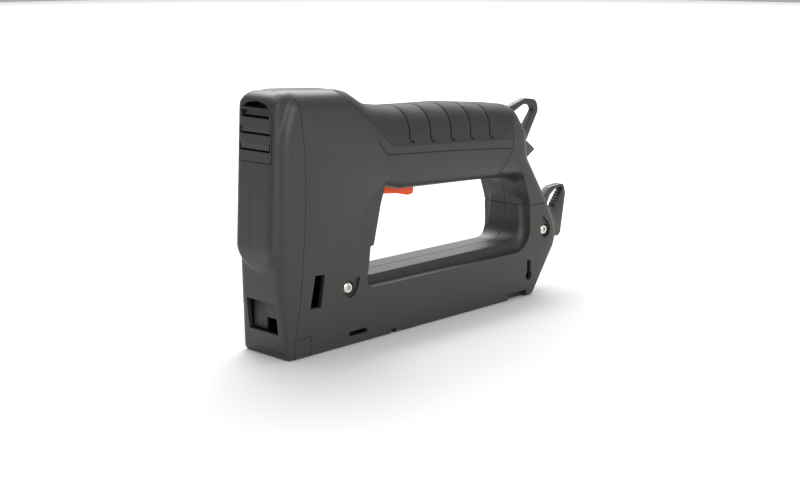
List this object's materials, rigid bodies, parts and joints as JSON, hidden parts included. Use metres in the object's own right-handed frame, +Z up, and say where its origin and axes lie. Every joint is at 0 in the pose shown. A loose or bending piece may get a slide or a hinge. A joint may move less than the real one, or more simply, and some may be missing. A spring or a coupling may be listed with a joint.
{
  "type": "staple gun",
  "caption": "Handheld staple gun with a closed-loop body, ribbed grip, pull trigger, sliding magazine and spring-returned driver blade.",
  "frame": {"origin": "under the middle of the overall length, on the flat base", "axes": "+X from the nose to the tail, +Y across to the tool's left shell, +Z up"},
  "size_m": [0.2553, 0.036, 0.1368],
  "materials": {
    "shell_plastic": "satin, fine moulded texture",
    "grip_rubber": "soft matt",
    "trigger_plastic": "satin",
    "black_plastic": "matt",
    "steel": "zinc plated",
    "blackened_steel": "phosphate blackened",
    "bright_steel": "bright zinc",
    "copper_winding": "enamelled wire",
    "bobbin_plastic": "natural nylon",
    "cell_wrap": "shrink wrap",
    "board_green": "lacquered board",
    "capacitor_sleeve": "sleeve"
  },
  "bodies": {
    "housing": {"shell_right": "shell_plastic", "shell_left": "shell_plastic", "front_cover": "shell_plastic", "vent_insert": "shell_plastic", "grip_cover": "grip_rubber", "hang_loop": "shell_plastic", "staple_lifter": "shell_plastic", "shell_screws": "bright_steel", "trigger_pin": "steel", "trigger_spring": "steel", "switch_body": "black_plastic", "solenoid_yoke": "steel", "coil_bobbin": "bobbin_plastic", "coil_winding": "copper_winding", "return_spring": "steel", "upper_bumper": "grip_rubber", "lower_bumper": "grip_rubber", "nose_plate": "blackened_steel", "shutter_spring": "steel", "latch_pin": "steel", "latch_spring": "steel", "battery_cells": "cell_wrap", "battery_holder": "black_plastic", "control_board": "board_green", "capacitor": "capacitor_sleeve", "charge_socket": "black_plastic"},
    "trigger": {"trigger": "trigger_plastic"},
    "switch_plunger": {"switch_plunger": "trigger_plastic"},
    "striker": {"solenoid_plunger": "steel", "blade_holder": "black_plastic", "driver_blade": "steel"},
    "shutter": {"jam_shutter": "shell_plastic"},
    "magazine": {"magazine_channel": "steel", "magazine_end": "black_plastic", "magazine_bar": "steel", "staple_strip": "bright_steel", "pusher_rod": "steel", "pusher_spring": "steel"},
    "pusher": {"pusher": "black_plastic"},
    "latch": {"magazine_latch": "shell_plastic"}
  },
  "joints": [
    {"name": "trigger_pull", "type": "hinge", "parent": "housing", "child": "trigger", "pos_m": [-0.04925, 0, 0.0825], "axis": [0, -1, 0], "range_deg": [0, 6], "stiffness_Nm_per_rad": 0.5, "springref_deg": -11.46, "deforming": ["trigger_spring"]},
    {"name": "switch_press", "type": "slide", "parent": "housing", "child": "switch_plunger", "axis": [0, 0, 1], "range_m": [0, 0.0023]},
    {"name": "striker_drive", "type": "slide", "parent": "housing", "child": "striker", "axis": [0, 0, -1], "range_m": [0, 0.014], "stiffness_N_per_m": 150, "springref_m": -0.02, "deforming": ["return_spring"]},
    {"name": "shutter_lift", "type": "slide", "parent": "housing", "child": "shutter", "axis": [0, 0, 1], "range_m": [0, 0.007], "stiffness_N_per_m": 40, "springref_m": -0.01, "deforming": ["shutter_spring"]},
    {"name": "magazine_slide", "type": "slide", "parent": "housing", "child": "magazine", "axis": [1, 0, 0], "range_m": [0, 0.12]},
    {"name": "pusher_slide", "type": "slide", "parent": "magazine", "child": "pusher", "axis": [1, 0, 0], "range_m": [0, 0.1], "stiffness_N_per_m": 25, "springref_m": -0.06, "deforming": ["pusher_spring"]},
    {"name": "latch_turn", "type": "hinge", "parent": "housing", "child": "latch", "pos_m": [0.09925, 0, 0.036], "axis": [0, 1, 0], "range_deg": [0, 8], "stiffness_Nm_per_rad": 0.3, "springref_deg": -17.19, "deforming": ["latch_spring"]}
  ],
  "couplings": [
    {"joint": "switch_press", "follows": "trigger_pull", "m_per_rad": 0.021}
  ]
}
